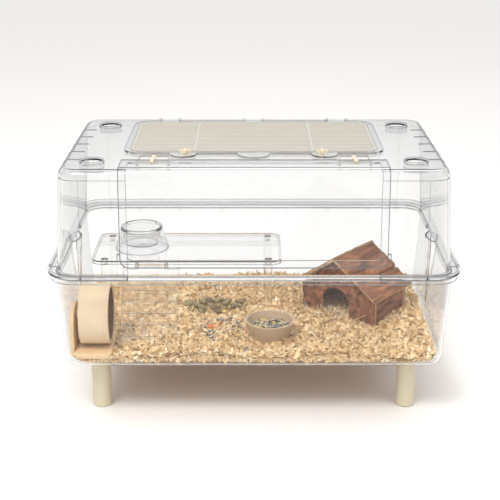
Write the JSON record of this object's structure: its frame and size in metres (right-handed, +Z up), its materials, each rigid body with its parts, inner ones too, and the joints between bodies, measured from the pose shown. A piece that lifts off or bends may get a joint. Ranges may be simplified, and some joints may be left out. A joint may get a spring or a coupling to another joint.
{
  "type": "hamster cage",
  "caption": "Clear hamster cage: tub on legs, lift-off cover with front door and roof vent, raised platform with ramp, wooden wheel, bark hut and bowls.",
  "frame": {"origin": "on the floor under the middle of the cage, at the level of the rubber feet", "axes": "+X to the right along the longer side, +Y to the back (the door faces -Y), +Z up"},
  "size_m": [0.58, 0.38, 0.3803],
  "materials": {
    "clear_plastic": "clear injection-moulded plastic, glossy",
    "door_plastic": "clear plastic, glossy",
    "cream_plastic": "warm cream plastic, satin",
    "grille_plastic": "off-white slatted plastic, satin",
    "pad_rubber": "soft translucent grey rubber",
    "pale_wood": "pale sanded wood",
    "cork": "brown cork lining",
    "bark_wood": "bark-covered slabs with pale sawn edges",
    "steel": "plain zinc-plated steel",
    "shavings": "loose pale wood shavings",
    "stoneware": "taupe stoneware, satin",
    "seed_mix": "sunflower seeds and pellets"
  },
  "bodies": {
    "tub": {"base_tub": "clear_plastic", "leg_front_left": "cream_plastic", "leg_front_right": "cream_plastic", "leg_back_left": "cream_plastic", "leg_back_right": "cream_plastic", "foot_pads": "pad_rubber", "platform": "clear_plastic", "ramp_pin": "clear_plastic", "post_front_left": "clear_plastic", "post_front_right": "clear_plastic", "post_back_left": "clear_plastic", "post_back_right": "clear_plastic", "bedding": "shavings", "pellet_pile": "seed_mix", "wheel_foot": "pale_wood", "wheel_board": "pale_wood", "axle_bolt": "steel", "axle_spacer": "steel", "axle_nut": "steel"},
    "cover": {"top_cover": "clear_plastic", "door_pin_left": "cream_plastic", "door_pin_right": "cream_plastic", "vent_hinge_pins": "clear_plastic"},
    "door": {"front_door": "door_plastic", "door_clip_left": "cream_plastic", "door_clip_right": "cream_plastic", "door_snaps": "door_plastic"},
    "vent_lid": {"vent_frame": "clear_plastic", "vent_grille": "grille_plastic"},
    "left_knob": {"knob_left": "cream_plastic"},
    "right_knob": {"knob_right": "cream_plastic"},
    "wheel": {"wheel_drum": "pale_wood", "wheel_liner": "cork", "wheel_bearing": "steel"},
    "ramp_flap": {"ramp": "clear_plastic"},
    "water_dish": {"water_bowl": "clear_plastic"},
    "food_dish": {"food_bowl": "stoneware", "bowl_seeds": "seed_mix"},
    "hut": {"hut_front": "bark_wood", "hut_back": "bark_wood", "hut_left_wall": "bark_wood", "hut_right_wall": "bark_wood", "hut_roof_left": "bark_wood", "hut_roof_upper": "bark_wood", "hut_roof_lower": "bark_wood"}
  },
  "joints": [
    {"name": "cover_lift", "type": "slide", "parent": "tub", "child": "cover", "axis": [0, 0, 1], "range_m": [0, 0.18]},
    {"name": "door_hinge", "type": "hinge", "parent": "cover", "child": "door", "pos_m": [0, -0.111, 0.371], "axis": [-1, 0, 0], "range_deg": [0, 90]},
    {"name": "vent_hinge", "type": "hinge", "parent": "cover", "child": "vent_lid", "pos_m": [0, 0.141, 0.3769], "axis": [-1, 0, 0], "range_deg": [0, 100]},
    {"name": "knob_left_turn", "type": "hinge", "parent": "vent_lid", "child": "left_knob", "pos_m": [-0.098, -0.072, 0.377], "axis": [0, 0, 1], "range_deg": [0, 90]},
    {"name": "knob_right_turn", "type": "hinge", "parent": "vent_lid", "child": "right_knob", "pos_m": [0.098, -0.072, 0.377], "axis": [0, 0, 1], "range_deg": [0, 90]},
    {"name": "wheel_spin", "type": "hinge", "parent": "tub", "child": "wheel", "pos_m": [-0.25, -0.12, 0.1483], "axis": [1, 0, 0], "continuous": true},
    {"name": "ramp_hinge", "type": "hinge", "parent": "tub", "child": "ramp_flap", "pos_m": [-0.156, -0.018, 0.1845], "axis": [-1, 0, 0], "range_deg": [0, 35]},
    {"name": "water_lift", "type": "slide", "parent": "tub", "child": "water_dish", "axis": [0, 0, 1], "range_m": [0, 0.1]},
    {"name": "food_lift", "type": "slide", "parent": "tub", "child": "food_dish", "axis": [0, 0, 1], "range_m": [0, 0.1]},
    {"name": "hut_lift", "type": "slide", "parent": "tub", "child": "hut", "axis": [0, 0, 1], "range_m": [0, 0.1]}
  ]
}
